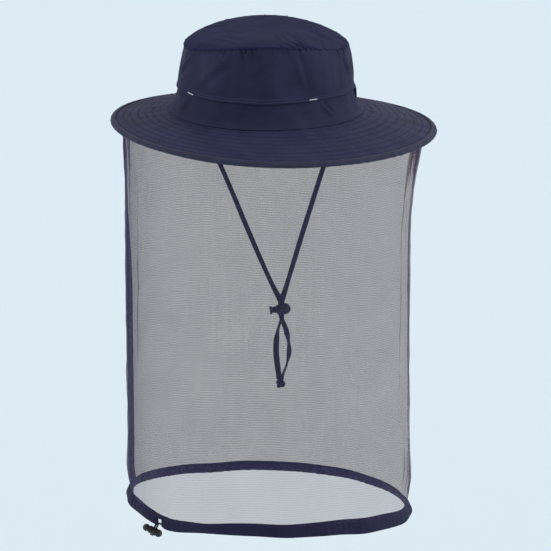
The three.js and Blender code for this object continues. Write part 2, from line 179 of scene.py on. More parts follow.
def thicken(obj, thickness):
    """Gives a sheet its cloth's thickness, in millimetres, behind its face."""
    modifier = obj.modifiers.new("cloth", "SOLIDIFY")
    modifier.thickness = thickness * MM
    modifier.offset = -1
    return apply_modifiers(obj)


def ring(count):
    return np.arange(count) * 2 * math.pi / count


def ring_length(count, radius):
    """UV coordinates round a ring, in metres."""
    return np.arange(count + 1) * 2 * math.pi / count * radius * MM


def polar(r, angle, z, shift=0.0):
    return np.stack(np.broadcast_arrays(r * np.cos(angle) + shift, r * np.sin(angle), z), -1)


def raised(points, height):
    """The points of a ring-shaped sheet, moved out along its normals by height."""
    around = np.roll(points, -1, 1) - np.roll(points, 1, 1)
    normal = np.cross(np.gradient(points, axis=0), around)
    normal /= np.linalg.norm(normal, axis=-1, keepdims=True)
    return points + normal * height[..., None]


def ripple(angle, height, seed, low, high, drift=0.0):
    """Waves round a ring, from about -1 to 1, with low to high of them to the turn. drift leans them."""
    draw = np.random.default_rng(seed)
    total = np.zeros(np.broadcast(angle, height).shape)
    for _ in range(9):
        turns = int(draw.integers(low, high + 1))
        total = total + np.sin(turns * angle + draw.normal() * drift * height + draw.uniform(0, 2 * math.pi))
    return total / 3.2


def crease(x, y, start, end, width, height):
    """A soft fold along a line on a flat map: a ridge with a valley beside it, fading out at both ends."""
    start, end = np.array(start, float), np.array(end, float)
    line = end - start
    length = np.linalg.norm(line)
    u, v = line / length
    along = ((x - start[0]) * u + (y - start[1]) * v) / length
    side = (y - start[1]) * u - (x - start[0]) * v
    fade = np.sin(np.clip(along, 0, 1) * math.pi) ** 0.7
    return height * fade * (bell(side / width, 0, 1) - 0.75 * bell(side / width, 1.5, 1))


def bell(value, centre, width):
    """1 at the centre, fading to 0 over a few widths on both sides."""
    return np.exp(-((value - centre) / width) ** 2)


def ease(value, low, high):
    t = np.clip((value - low) / (high - low), 0, 1)
    return t * t * (3 - 2 * t)


def smooth_route(points, per_span=8):
    """A centripetal Catmull-Rom curve through the points."""
    p = np.array(points, float)
    p = np.vstack([2 * p[0] - p[1], p, 2 * p[-1] - p[-2]])
    made = []
    for a, b, c, d in zip(p, p[1:], p[2:], p[3:]):
        tb = np.linalg.norm(b - a) ** 0.5
        tc = tb + np.linalg.norm(c - b) ** 0.5
        td = tc + np.linalg.norm(d - c) ** 0.5
        for t in np.linspace(tb, tc, per_span, endpoint=False):
            ab = a + (b - a) * t / tb
            bc = b + (c - b) * (t - tb) / (tc - tb)
            cd = c + (d - c) * (t - tc) / (td - tc)
            abc = ab + (bc - ab) * t / tc
            bcd = bc + (cd - bc) * (t - tb) / (td - tb)
            made.append(abc + (bcd - abc) * (t - tb) / (tc - tb))
    made.append(p[-2])
    return np.array(made)


def distances(route):
    return np.concatenate([[0], np.cumsum(np.linalg.norm(np.diff(route, axis=0), axis=1))])


def tube(name, route, section, material, wide=(1, 0, 0), turn=0.0, closed=False):
    """A solid swept along a route, in millimetres. section is (across, out) points, with across kept near
    wide and turned by turn radians at each point of the route."""
    if closed:
        tangents = np.roll(route, -1, 0) - np.roll(route, 1, 0)
    else:
        tangents = np.gradient(route, axis=0)
    tangents /= np.linalg.norm(tangents, axis=1)[:, None]
    wide = np.array(wide, float)
    side = wide - tangents * (tangents @ wide)[:, None]
    side /= np.linalg.norm(side, axis=1)[:, None]
    out = np.cross(tangents, side)
    turn = np.broadcast_to(turn, len(route))
    cos, sin = np.cos(turn)[:, None], np.sin(turn)[:, None]
    side, out = side * cos + out * sin, out * cos - side * sin
    points = route + section[:, 0, None, None] * side + section[:, 1, None, None] * out
    gone = distances(np.vstack([route, route[:1]]) if closed else route) * MM
    around = distances(np.vstack([section, section[:1]])) * MM
    return outwards(grid(name, points, gone, around, material, wrap=closed, close=True, cap=not closed))


def round_section(radius, sides=16):
    return np.stack([radius * np.cos(ring(sides)), radius * np.sin(ring(sides))], -1)


def tape_section(width, thickness, sides=24):
    """A flat tape's section: a bar with rounded edges."""
    cos, sin = np.cos(ring(sides)), np.sin(ring(sides))
    across = np.sign(cos) * np.abs(cos) ** 0.45 * width / 2
    out = np.sign(sin) * np.abs(sin) ** 0.7 * thickness / 2
    return np.stack([across, out], -1)


def attach(piece, node, body):
    """Puts a piece in a CAD node's place and lets it ride on a body."""
    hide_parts(node)
    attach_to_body(piece, body)


# ---- Materials ----
class Nodes:
    """A node material, with short calls for the nodes used here."""

    def __init__(self, name):
        self.material = bpy.data.materials.new(name)
        self.material.use_nodes = True
        self.tree = self.material.node_tree
        self.shader = self.tree.nodes["Principled BSDF"]
        split = self.tree.nodes.new("ShaderNodeSeparateXYZ")
        uv = self.tree.nodes.new("ShaderNodeUVMap")
        uv.uv_map = "metres"
        self.tree.links.new(uv.outputs[0], split.inputs[0])
        self.u, self.v = split.outputs[0], split.outputs[1]
        self.place = self.tree.nodes.new("ShaderNodeTexCoord").outputs["Object"]

    def fill(self, socket, value):
        if isinstance(value, bpy.types.NodeSocket):
            self.tree.links.new(value, socket)
        else:
            socket.default_value = (*value, 1) if isinstance(value, tuple) and len(value) == 3 else value

    def set(self, **values):
        for key, value in values.items():
            self.fill(self.shader.inputs[key.replace("_", " ")], value)

    def maths(self, operation, *values):
        made = self.tree.nodes.new("ShaderNodeMath")
        made.operation = operation
        for socket, value in zip(made.inputs, values):
            self.fill(socket, value)
        return made.outputs[0]

    def wave(self, value, pitch):
        """A wave from 0 to 1 that repeats every pitch metres."""
        turned = self.maths("MULTIPLY", value, 2 * math.pi / pitch)
        return self.maths("MULTIPLY_ADD", self.maths("SINE", turned), 0.5, 0.5)

    def noise(self, scale, detail=3.0):
        made = self.tree.nodes.new("ShaderNodeTexNoise")
        self.fill(made.inputs["Scale"], scale)
        self.fill(made.inputs["Detail"], detail)
        self.fill(made.inputs["Vector"], self.place)
        return made.outputs["Fac"]

    def ramp(self, factor, low, high, start=0.3, end=0.7):
        made = self.tree.nodes.new("ShaderNodeValToRGB")
        for element, position, colour in zip(made.color_ramp.elements, (start, end), (low, high)):
            element.position = position
            element.color = (*colour, 1)
        self.fill(made.inputs[0], factor)
        return made.outputs[0]

    def mix(self, factor, a, b):
        made = self.tree.nodes.new("ShaderNodeMix")
        made.data_type = "RGBA"
        for index, value in ((0, factor), (6, a), (7, b)):
            self.fill(made.inputs[index], value)
        return made.outputs[2]

    def bump(self, height, distance):
        made = self.tree.nodes.new("ShaderNodeBump")
        self.fill(made.inputs["Distance"], distance)
        self.fill(made.inputs["Height"], height)
        return made.outputs[0]


def scaled(colour, factor):
    return tuple(c * factor for c in colour)


def stitch_mask(n, rows, pitch=0.0028, width=0.0005):
    """1 on the stitches of thread rows at these heights of the UV map."""
    near = 0.0
    for row in rows:
        gap = n.maths("ABSOLUTE", n.maths("SUBTRACT", n.v, row))
        near = n.maths("MAXIMUM", near, n.maths("LESS_THAN", gap, width))
    dash = n.maths("LESS_THAN", n.maths("FRACT", n.maths("MULTIPLY", n.u, 1 / pitch)), 0.74)
    return n.maths("MULTIPLY", near, dash)


def stitched(n, rows, shade, height, thread, rise):
    """The cloth's colour and height with rows of stitches laid on it."""
    if len(rows) == 0:
        return shade, height
    mask = stitch_mask(n, rows)
    return n.mix(mask, shade, thread), n.maths("MULTIPLY_ADD", mask, rise, height)


def cloth(name, colour, pitch=0.0006, roughness=0.7, sheen=0.05, stitches=(), thread=1.5, specular=0.08):
    """Plain woven cloth: crossing threads, uneven dye, worn lighter threads, and rows of stitches."""
    n = Nodes(name)
    weave = n.maths("MULTIPLY", n.maths("ADD", n.wave(n.u, pitch), n.wave(n.v, pitch)), 0.5)
    blotch = n.noise(28, 4.0)
    fine = n.noise(1100, 2.0)
    tone = n.maths("ADD", n.maths("MULTIPLY", blotch, 0.6), n.maths("MULTIPLY", fine, 0.4))
    shade = n.ramp(tone, scaled(colour, 0.8), scaled(colour, 1.2), 0.35, 0.65)
    shade = n.mix(n.maths("MULTIPLY_ADD", weave, -0.22, 0.22), shade, scaled(colour, 0.5))
    shade, height = stitched(n, stitches, shade, weave, scaled(colour, thread), 3.0)
    n.set(Base_Color=shade, Normal=n.bump(height, 0.00006), Specular_IOR_Level=specular)
    n.set(Sheen_Weight=sheen, Sheen_Roughness=0.4, Sheen_Tint=(0.55, 0.58, 0.9))
    n.set(Roughness=n.ramp(fine, (roughness - 0.06,) * 3, (roughness + 0.08,) * 3))
    return n.material


def ribbed(name, colour, pitch=0.0011, roughness=0.75, sheen=0.05, stitches=()):
    """Webbing or binding tape: close ribs across its length, with a fleck of lighter yarn."""
    n = Nodes(name)
    ribs = n.wave(n.u, pitch)
    cross = n.wave(n.v, pitch * 0.7)
    fleck = n.noise(1500, 2.0)
    blotch = n.noise(60, 3.0)
    shade = n.ramp(n.maths("ADD", n.maths("MULTIPLY", blotch, 0.5), n.maths("MULTIPLY", fleck, 0.5)),
                   scaled(colour, 0.75), scaled(colour, 1.35), 0.35, 0.68)
    shade = n.mix(n.maths("MULTIPLY_ADD", ribs, -0.45, 0.45), shade, scaled(colour, 0.35))
    height = n.maths("MULTIPLY_ADD", cross, 0.35, ribs)
    shade, height = stitched(n, stitches, shade, height, scaled(colour, 1.9), 2.0)
    n.set(Base_Color=shade, Normal=n.bump(height, 0.00018), Roughness=roughness)
    n.set(Sheen_Weight=sheen, Sheen_Roughness=0.5, Sheen_Tint=(0.6, 0.6, 0.9), Specular_IOR_Level=0.3)
    return n.material


def braid(name, colour, pitch=0.0014):
    """A flat braided cord: diagonal yarns that cross."""
    n = Nodes(name)
    one = n.wave(n.maths("ADD", n.u, n.v), pitch)
    two = n.wave(n.maths("SUBTRACT", n.u, n.v), pitch)
    yarn = n.maths("MAXIMUM", one, two)
    fleck = n.noise(1300, 2.0)
    shade = n.ramp(fleck, scaled(colour, 0.7), scaled(colour, 1.5))
    shade = n.mix(n.maths("MULTIPLY_ADD", yarn, -0.6, 0.6), shade, scaled(colour, 0.3))
    n.set(Base_Color=shade, Normal=n.bump(yarn, 0.0002), Roughness=0.72)
    n.set(Sheen_Weight=0.15, Sheen_Roughness=0.5, Sheen_Tint=(0.6, 0.6, 0.8), Specular_IOR_Level=0.3)
    return n.material


def mesh_cloth(name, colour, pitch, low, high, streak=0.0, dense=()):
    """Open netting: threads between clear holes. low and high are how much the holes and the threads cover.
    dense lists where the net is closer: place round the net, width, and how much more it covers."""
    n = Nodes(name)
    wander = n.maths("MULTIPLY_ADD", n.noise(45, 2.0), 0.0035, n.v)
    threads = n.maths("MAXIMUM", n.wave(n.u, pitch), n.wave(n.v, pitch))
    threads = n.maths("MULTIPLY", threads, threads)
    cover = n.maths("MULTIPLY_ADD", threads, high - low, low)
    cover = n.maths("MULTIPLY_ADD", n.wave(wander, 0.00265), streak, cover)
    cover = n.maths("MULTIPLY_ADD", n.noise(22, 3.0), 0.1, n.maths("SUBTRACT", cover, 0.05))
    for at, width, more in dense:
        away = n.maths("MULTIPLY", n.maths("SUBTRACT", n.u, at), 1 / width)
        peak = n.maths("POWER", math.e, n.maths("MULTIPLY", n.maths("MULTIPLY", away, away), -1.0))
        cover = n.maths("MULTIPLY_ADD", peak, more, cover)
    shade = n.ramp(n.noise(300, 2.0), scaled(colour, 0.75), scaled(colour, 1.25))
    n.set(Base_Color=shade, Roughness=0.85, Sheen_Weight=0.1, Sheen_Roughness=0.5)
    n.set(Specular_IOR_Level=0.1, Normal=n.bump(threads, 0.0001))
    clear = n.tree.nodes.new("ShaderNodeBsdfTransparent")
    clear.inputs["Color"].default_value = (1.0, 0.94, 0.89, 1)
    blend = n.tree.nodes.new("ShaderNodeMixShader")
    n.fill(blend.inputs[0], cover)
    n.fill(blend.inputs[1], clear.outputs[0])
    n.fill(blend.inputs[2], n.shader.outputs[0])
    n.fill(n.tree.nodes["Material Output"].inputs["Surface"], blend.outputs[0])
    return n.material


def plastic(name, colour, roughness=0.38):
    """Moulded plastic: fine grain, scuffs and a slightly uneven gloss."""
    n = Nodes(name)
    grain = n.noise(2500, 2.0)
    scuff = n.noise(180, 5.0)
    n.set(Base_Color=n.ramp(scuff, colour, scaled(colour, 1.9), 0.45, 0.8), Normal=n.bump(grain, 0.00004))
    n.set(Roughness=n.ramp(scuff, (roughness,) * 3, (roughness + 0.25,) * 3), Specular_IOR_Level=0.5)
    return n.material


def steel(name):
    n = Nodes(name)
    scratch = n.noise(900, 3.0)
    n.set(Base_Color=n.ramp(scratch, (0.42, 0.43, 0.45), (0.62, 0.63, 0.65)), Metallic=1.0)
    n.set(Roughness=n.ramp(scratch, (0.25,) * 3, (0.45,) * 3), Normal=n.bump(scratch, 0.00001))
    return n.material


def sheet_plastic(name, colour):
    """The brim's white stiffener: a matt sheet with a rolled grain."""
    n = Nodes(name)
    grain = n.noise(600, 3.0)
    n.set(Base_Color=n.ramp(grain, scaled(colour, 0.85), colour), Roughness=0.6)
    n.set(Normal=n.bump(grain, 0.00004))
    return n.material


STITCH_ROWS = (100, 108, 116.5, 125, 133, 141.5, 150, 158, 166)  # radii of the brim's stitching
NAVY, NAVY_BRIM = (0.0262, 0.0292, 0.0665), (0.0298, 0.0335, 0.079)
TAPE_NAVY, CORD_NAVY = (0.021, 0.021, 0.052), (0.0105, 0.010, 0.024)
NET_NAVY = (0.062, 0.060, 0.135)
NAVY_TOP_PAINTED_SHADE = (0.0240, 0.0275, 0.0705)  # painted shade: the crown's top, which has no sheen, is a slightly darker, bluer copy of NAVY, set against the light that falls on it from above

crown_cloth = cloth("crown_cloth", NAVY)
# The crown top's cloth carries that painted shade: the crown's navy, darkened where the top faces the light.
crown_top_shaded_cloth = cloth("crown_top_shaded_cloth", NAVY_TOP_PAINTED_SHADE, sheen=0.0, specular=0.02)
flap_cloth = cloth("flap_cloth", NAVY, stitches=(0.0019, 0.0042))
brim_cloth = cloth("brim_cloth", NAVY_BRIM, stitches=[r * MM for r in STITCH_ROWS], thread=0.55)
# painted shade: the brim's underside is the brim's cloth darkened to 0.8, for the shade under the brim
under_shaded_cloth = cloth("under_shaded_cloth", scaled(NAVY_BRIM, 0.8), stitches=[r * MM for r in STITCH_ROWS], thread=0.6)
lining_cloth = cloth("lining_cloth", (0.018, 0.022, 0.045), pitch=0.0004, roughness=0.5)
sweat_cloth = ribbed("sweat_cloth", (0.016, 0.019, 0.034), pitch=0.0016, stitches=(0.002, 0.0175))
binding_tape = ribbed("binding_tape", scaled(NAVY_BRIM, 0.85), pitch=0.0022)
hem_tape = cloth("hem_tape", TAPE_NAVY, stitches=(0.0024,))
fin_tape = ribbed("fin_tape", (0.036, 0.033, 0.082), stitches=(0.0035,))
seam_tape = ribbed("seam_tape", TAPE_NAVY, stitches=(0.0035,))
strap_braid = braid("strap_braid", CORD_NAVY)
thread_white = ribbed("thread_white", (0.72, 0.73, 0.78), pitch=0.0009)
net_cloth = mesh_cloth("net_cloth", NET_NAVY, pitch=0.0011, low=0.155, high=0.42, streak=0.09,
                       dense=((0.478, 0.07, 0.22), (0.0, 0.05, 0.05), (0.949, 0.05, 0.05)))
vent_cloth = mesh_cloth("vent_cloth", (0.03, 0.03, 0.05), pitch=0.003, low=0.0, high=1.1)
black_plastic = plastic("black_plastic", (0.006, 0.0062, 0.008), roughness=0.32)
toggle_plastic = plastic("toggle_plastic", (0.007, 0.006, 0.0045), roughness=0.26)
spring_steel = steel("spring_steel")
stiffener_sheet = sheet_plastic("stiffener_sheet", (0.72, 0.72, 0.68))

# ---- Chin strap ----
# The straps' routes, as the CAD has them: [x, z] from the anchor down through the lock to the knot.
STRAP_ROUTES = {
    "left": [
        [-76.2, -4.7], [-68.5, -18], [-55, -43], [-39, -80], [-23.2, -119], [-7.2, -157], [5, -184],
        [10.4, -194.5], [12.6, -200], [13, -204], [13, -212], [12.4, -219], [9.8, -229], [7.8, -243],
        [7.7, -257], [9.3, -271], [10.2, -278], [10.4, -283.6],
    ],
    "right": [
        [76.2, -4.5], [70.8, -18], [60.5, -45], [49.3, -80], [37.6, -118], [26, -157], [18, -184],
        [14.7, -195], [13.2, -200.5], [13, -204], [13, -212], [13.9, -219], [17.6, -229], [20.6, -242],
        [21.2, -256], [18.4, -269.5], [15.2, -278], [14, -283.6],
    ],
}
# How far each flat strap is turned from facing forwards: [height, degrees].
STRAP_TURNS = {
    "left": [[-4, 20], [-40, 38], [-120, 30], [-180, 38], [-199, 3], [-213, 3], [-218, 74], [-231, 70],
             [-240, 20], [-248, 0], [-268, 6], [-284, 30]],
    "right": [[-4, -20], [-40, -36], [-130, -28], [-180, -38], [-199, -3], [-213, -3], [-219, -55],
              [-230, -34], [-236, -28], [-242, -68], [-246, -66], [-253, -26], [-266, -74], [-284, -60]],
}
STRAP_SIDES = {"left": -1, "right": 1}
STRAP_SPREAD = 1.1  # the worn braid is this much wider than its plain tape


def make_strap(side, upper):
    y = STRAP_Y + STRAP_SIDES[side] * STRAP_SPACING
    route = smooth_route([[x, y, z] for x, z in STRAP_ROUTES[side]], 10)
    at_lock = int(np.argmin(np.abs(route[:, 2] - LOCK_AT[2])))
    route = route[: at_lock + 1] if upper else route[at_lock:]
    heights, turns = np.array(STRAP_TURNS[side][::-1], float).T
    turn = np.radians(np.interp(route[:, 2], heights, turns))
    turn = np.convolve(np.pad(turn, 2, mode="edge"), np.ones(5) / 5, "valid")
    part = "upper" if upper else "tail"
    section = tape_section(STRAP_WIDTH * STRAP_SPREAD, STRAP_THICKNESS)
    strap = tube(f"chin_strap_{side}_{part}", route, section, strap_braid, turn=turn)
    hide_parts(f"chin_cord_{side}")
    if upper:
        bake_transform(strap)
    else:
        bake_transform(strap)


def make_knot():
    """An overhand knot: the strap's two ends wound round each other into a lump."""
    t = ring(160)
    lump = np.stack([
        (np.sin(t) + 2 * np.sin(2 * t)) * 1.3,
        -np.sin(3 * t) * 1.4,
        (np.cos(t) - 2 * np.cos(2 * t)) * 1.0,
    ], -1)
    tilt = np.array(Matrix.Rotation(0.35, 3, "X") @ Matrix.Rotation(0.4, 3, "Y"))
    section = tape_section(3.6, 2.8)
    route = KNOT_AT + lump @ tilt.T
    knot = tube("chin_strap_knot", route, section, strap_braid, wide=(0.2, 1, 0.3), closed=True)
    attach(knot, "chin_knot", "chin_strap")
    collar_route = smooth_route([KNOT_AT + [0.3, 0, z] for z in (10.0, 7.4, 5.0, 2.6, 1.0)], 6)
    collar = tube("chin_strap_collar", collar_route, tape_section(6.2, 4.2), strap_braid)
    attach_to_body(collar, "chin_strap")
    return knot, collar


def lathe(name, profile, material, steps=48):
    """A solid turned about X from [along, radius] points, in millimetres."""
    profile = np.array(profile, float)
    angle = ring(steps)
    points = np.stack(np.broadcast_arrays(
        profile[:, 0, None], profile[:, 1, None] * np.cos(angle), profile[:, 1, None] * np.sin(angle)), -1)
    return outwards(grid(name, points, ring_length(steps, 5), distances(profile) * MM, material), weld=True)


def carve(obj, *tools):
    for tool in tools:
        modifier = obj.modifiers.new("carve", "BOOLEAN")
        modifier.operation = "DIFFERENCE"
        modifier.solver = "EXACT"
        modifier.object = tool
    apply_modifiers(obj)
    for tool in tools:
        bpy.data.objects.remove(tool, do_unlink=True)
    return obj


def slot_box(name, from_x, to_x, half_y):
    bm = bmesh.new()
    bmesh.ops.create_cube(bm, size=1)
    size = Vector((to_x - from_x, 2 * half_y, 30)) * MM
    for vert in bm.verts:
        vert.co = Vector(a * b for a, b in zip(vert.co, size)) + Vector(((from_x + to_x) / 2 * MM, 0, 0))
    mesh = bpy.data.meshes.new(name)
    bm.to_mesh(mesh)
    bm.free()
    return new_object(name, mesh, black_plastic)


def arc(centre, radius, start, end, steps=14):
    angle = np.radians(np.linspace(start, end, steps + 1))
    return [[centre + radius * math.cos(a), radius * math.sin(a)] for a in angle]


def make_lock(names, nodes, bodies, profiles, bore, slots, place, material):
    """A spring cord lock: a barrel with a bore, and a push button inside it, both slotted for the cord."""
    barrel_profile, button_profile = profiles
    (bore_r, bore_from, bore_to), (slot_x, slot_y, travel) = bore, slots
    drill = lathe("drill", [[bore_from, 0], [bore_from, bore_r], [bore_to, bore_r], [bore_to, 0]], material)
    barrel = carve(lathe(names[0], barrel_profile, material), drill, slot_box("cut", -slot_x, slot_x, slot_y))
    button_slot = slot_box("cut", -slot_x - travel, slot_x, slot_y)
    button = carve(lathe(names[1], button_profile, material), button_slot)
    for piece, node, body in zip((barrel, button), nodes, bodies):
        piece.data.transform(place)
        piece.data.polygons.foreach_set("use_smooth", [True] * len(piece.data.polygons))
        piece.data.set_sharp_from_angle(angle=math.radians(35))
        attach(piece, node, body)
    return barrel, button


def placed(at, tilt):
    return Matrix.Translation(Vector(at * MM)) @ Matrix.Rotation(tilt, 4, "Y")


CHIN_LOCK_TILT = math.radians(-6)


def make_chin_lock():
    barrel = [[-5.2, 0], [-5.2, 4.4], [-5.0, 4.8], [-4.6, 5.0], [-3.6, 5.0], [-3.3, 4.7], [-2.8, 4.7],
              [-2.5, 5.0], [0.2, 5.1], *arc(4.0, 6.0, 121, 0)]
    button = [[-12.4, 0], [-12.3, 3.2], [-12.2, 3.9], [-11.9, 4.4], [-11.3, 4.6], [-10.6, 4.3], [-9.6, 3.3],
              [-8.9, 2.9], [-8.4, 3.3], [-7.9, 3.5], [3.7, 3.5], [3.9, 3.3], [3.9, 0]]
    return make_lock(
        ("chin_lock_housing", "chin_lock_button"), ("chin_lock_barrel", "chin_lock_plunger"),
        ("chin_lock", "chin_lock_button"), (barrel, button), (3.9, -6.2, 7.4), (3.2, 1.9, 2.2),
        placed(LOCK_AT, CHIN_LOCK_TILT), black_plastic)


for side_name in STRAP_SIDES:
    make_strap(side_name, True)
    make_strap(side_name, False)
make_knot()
make_chin_lock()

# ---- Crown ----
COLUMNS = 720
ANGLES = ring(COLUMNS)
# Degrees from the front, and millimetres towards the viewer's right round the crown.
FRONT_DEG = (np.degrees(ANGLES) + 90 + 180) % 360 - 180
SIDE_R, BAND_R = 91.0, 94.0  # where the crown's creases are measured round it
FRONT_MM = np.radians(FRONT_DEG) * SIDE_R
SEAM_MM_PER_DEG = 1.52  # round the top seam
# How strongly each part's creases and gathers show.
TOP_CREASING, SIDE_CREASING, BAND_CREASING, TOP_GATHERING, SIDE_GATHERING = 1.7, 1.8, 1.5, 1.5, 1.6
# Gathers at the top seam: degrees from the front, length, slant, depth.
SIDE_GATHERS = (
    (-33.2, 7, -0.3, 0.8), (-29, 9, -0.25, 1.0), (-24.5, 6, 0.1, 0.7), (-18.1, 11, 0.35, 1.1),
    (-13.6, 8, -0.3, 0.9), (-10.1, 9, 0.2, 1.0), (-7.2, 5, 0, 0.6), (14, 5, 0.2, 0.5), (24, 7, -0.2, 0.6),
)
TOP_GATHERS = (
    (6.5, 6, 0.2, 0.6), (10.4, 9, -0.3, 0.8), (13.2, 7, -0.2, 0.6), (18.7, 12, -0.45, 1.2),
    (22.5, 8, -0.3, 0.8), (27.6, 16, -0.55, 1.3), (31.6, 12, -0.4, 1.1), (34.6, 9, -0.3, 1.0),
    (37.6, 8, -0.2, 0.8),
)
SIDE_CREASES = (
    ((-22.2, 78), (-55, 34.8), 5.5, 0.9), ((19.2, 80), (27, 39.7), 3.4, 0.6),
    ((64.3, 68), (76.5, 40), 2.4, 1.1),
    ((2, 74), (-14, 50), 5.0, 0.5), ((-64, 66), (-80, 40), 3.0, 0.7), ((-100, 70), (-118, 34), 4.5, 0.9),
    ((104, 66), (122, 36), 4.0, 0.8), ((140, 72), (152, 40), 5.0, 0.7), ((-150, 70), (-170, 36), 4.5, 0.8),
)
TOP_CREASES = (
    ((20.8, -10), (39.2, -80), 2.4, 1.1), ((6.4, -18), (16.4, -83), 2.6, 0.7),
    ((52, -36), (56, -72), 2.0, 0.6),
    ((42, 14), (69, -22), 2.4, 0.9), ((-76, 36), (-46, 18), 3.0, 0.6), ((-60, -30), (-30, -74), 4.0, 0.5),
    ((-20, 40), (10, 76), 3.5, 0.6), ((30, 40), (58, 62), 3.0, 0.6),
)
BAND_CREASES = (
    ((37.3, 23), (45.3, 7), 2.2, 0.9), ((-58, 22), (-66, 6), 4.0, 0.7), ((-12, 20), (-4, 5), 4.0, 0.4),
    ((100, 22), (108, 6), 3.0, 0.7), ((-140, 22), (-150, 5), 4.0, 0.6), ((160, 20), (152, 6), 3.0, 0.6),
)


def crown_wave(angle, z, reach=1.0):
    wave = -CROWN_DIP * np.cos(2 * angle) - CROWN_BACK_DROP * np.sin(angle)
    return wave * np.maximum(0, (z - FLAP_Z) / (CROWN_TOP_Z - FLAP_Z)) * reach


def add_creases(relief, x, y, table, strength, radius=None):
    """Adds a table's creases to the relief. With a radius, their x is in degrees from the front."""
    for (a, a_y), (b, b_y), width, height in table:
        if radius:
            a, b = math.radians(a) * radius, math.radians(b) * radius
        relief = relief + strength * crease(x, y, (a, a_y), (b, b_y), width, height)
    return relief


def gathers(inset, marks, seed):
    """Short valleys that run in from a gathered seam. inset is the distance from the seam."""
    draw = np.random.default_rng(seed)
    spare = [(d, draw.uniform(4, 9), draw.uniform(-0.4, 0.4), draw.uniform(0.3, 0.7))
             for d in draw.uniform(45, 315, 40)]
    total = np.zeros((len(inset), COLUMNS))
    for deg, length, slant, depth in (*marks, *spare):
        away = ((FRONT_DEG - deg + 180) % 360 - 180) * SEAM_MM_PER_DEG
        side = away[None, :] - slant * inset
        total -= depth * (bell(side, 0, 1.2) - 0.5 * bell(side, 2.3, 1.3)) * bell(inset, 0, length)
    return total


def make_crown_top():
    r = np.concatenate([np.linspace(2, 70, 34), np.linspace(71.2, 86.6, 22), [87.1, 87.5, 87.5, 87.1]])
    r = r[:, None]
    z = CROWN_TOP_Z + CROWN_RISE * (1 - np.minimum(1, r / 87.4) ** 3.6)
    z[-3:, 0] = (76.5, 75.8, 75.0)
    points = polar(r, ANGLES, z + crown_wave(ANGLES, z, np.minimum(1, r / CROWN_SEAM_R) ** 2), -2.2)
    x, y = points[..., 0], points[..., 1]
    fuller = 3.2 * bell(x, -64, 24) * bell(y, 5, 50) * (1 - ease(r, 80, 87)) - 0.009 * x
    relief = fuller + 0.5 * ripple(ANGLES, r / 30, 11, 2, 7, 0.8) * ease(r, 10, 40) * (1 - ease(r, 78, 88))
    relief = add_creases(relief, x, y, TOP_CREASES, TOP_CREASING)
    inset = np.maximum(0, 87.4 - r)
    relief = relief + TOP_GATHERING * gathers(inset, TOP_GATHERS, 21) * ease(r, 50, 70)
    top = grid("crown_top_fabric", raised(points, relief), ring_length(COLUMNS, 60), r[:, 0] * MM,
               crown_top_shaded_cloth, centre=True)
    return thicken(top, 0.6)


def tack_distance():
    """Degrees to the nearest bar tack."""
    deg = np.degrees(ANGLES)
    return np.min([np.abs((deg - t + 180) % 360 - 180) for t in TACK_DEGS], axis=0)


def flap_edge():
    """How far the flap's free edge stands off the band at each column."""
    loose = ease(tack_distance(), 3, 26)
    return 1.3 * loose * (0.8 + 0.35 * ripple(ANGLES, 0, 31, 5, 17)) - 0.2 * (1 - loose)


def make_crown_side():
    z = np.concatenate([np.linspace(76.4, 33, 52), np.linspace(32.4, 25.4, 18)])[:, None]
    r = np.interp(-z, [-76.4, -72, -64, -50, -38, -25.4], [86.5, 87.7, 89.2, 91.0, 92.4, 93.6])
    shift = np.interp(-z, [-72, -50, -26], [-2.5, -3.0, -3.7])
    real_z = z + crown_wave(ANGLES, z)
    low = 1 - ease(z, 25.4, 33)
    r = r + flap_edge() * low
    real_z = real_z + 0.5 * ripple(ANGLES, 0, 33, 4, 13) * low
    points = polar(r, ANGLES, real_z, shift)
    fade = ease(z, 28, 40) * (1 - ease(z, 68, 77))
    relief = 0.9 * ripple(ANGLES, z / 26, 41, 3, 11, 1.3) * fade
    relief = relief + 0.32 * ripple(ANGLES, z / 14, 42, 14, 40, 1.2) * fade
    relief = add_creases(relief, FRONT_MM[None, :], real_z, SIDE_CREASES, SIDE_CREASING, SIDE_R)
    relief = relief + SIDE_GATHERING * gathers(np.maximum(0, 76.4 - z), SIDE_GATHERS, 22)
    # The double row of stitches along the flap's edge, and the hem's roll below it.
    for row in (27.3, 29.6):
        relief = relief - 0.28 * bell(z, row, 0.55)
    relief = relief + 0.25 * bell(z, 26.2, 0.6)
    along = (z[:, 0] - 25.4) * MM
    around = ring_length(COLUMNS, SIDE_R)
    side = grid("crown_side_fabric", raised(points, relief), around, along, flap_cloth)
    return thicken(side, 0.8)


def make_crown_band():
    z = np.concatenate([np.linspace(33, 8, 30), np.linspace(7.2, -0.9, 14)])[:, None]
    r = np.interp(-z, [-33, -23.5, -12, -6, -3, -1.2, 0.9], [91.0, 92.7, 95.2, 97.4, 99.3, 101.3, 103.0])
    shift = np.interp(-z, [-33, -12, -5, 0], [-3.9, -3.9, -3.2, -2.0])
    points = polar(r, ANGLES, z, shift)
    fade = 1 - ease(z, 22, 30)
    relief = 0.5 * ripple(ANGLES, z / 20, 51, 6, 22, 1.2) * fade * ease(z, -1, 6)
    relief = add_creases(relief, FRONT_MM[None, :], z, BAND_CREASES, BAND_CREASING, BAND_R)
    relief = relief + 0.3 * bell(z, -0.2, 0.7)
    along = (z[:, 0] + 1) * MM
    band = grid("crown_band_fabric", raised(points, relief), ring_length(COLUMNS, 95), along, crown_cloth)
    return thicken(band, 0.9)


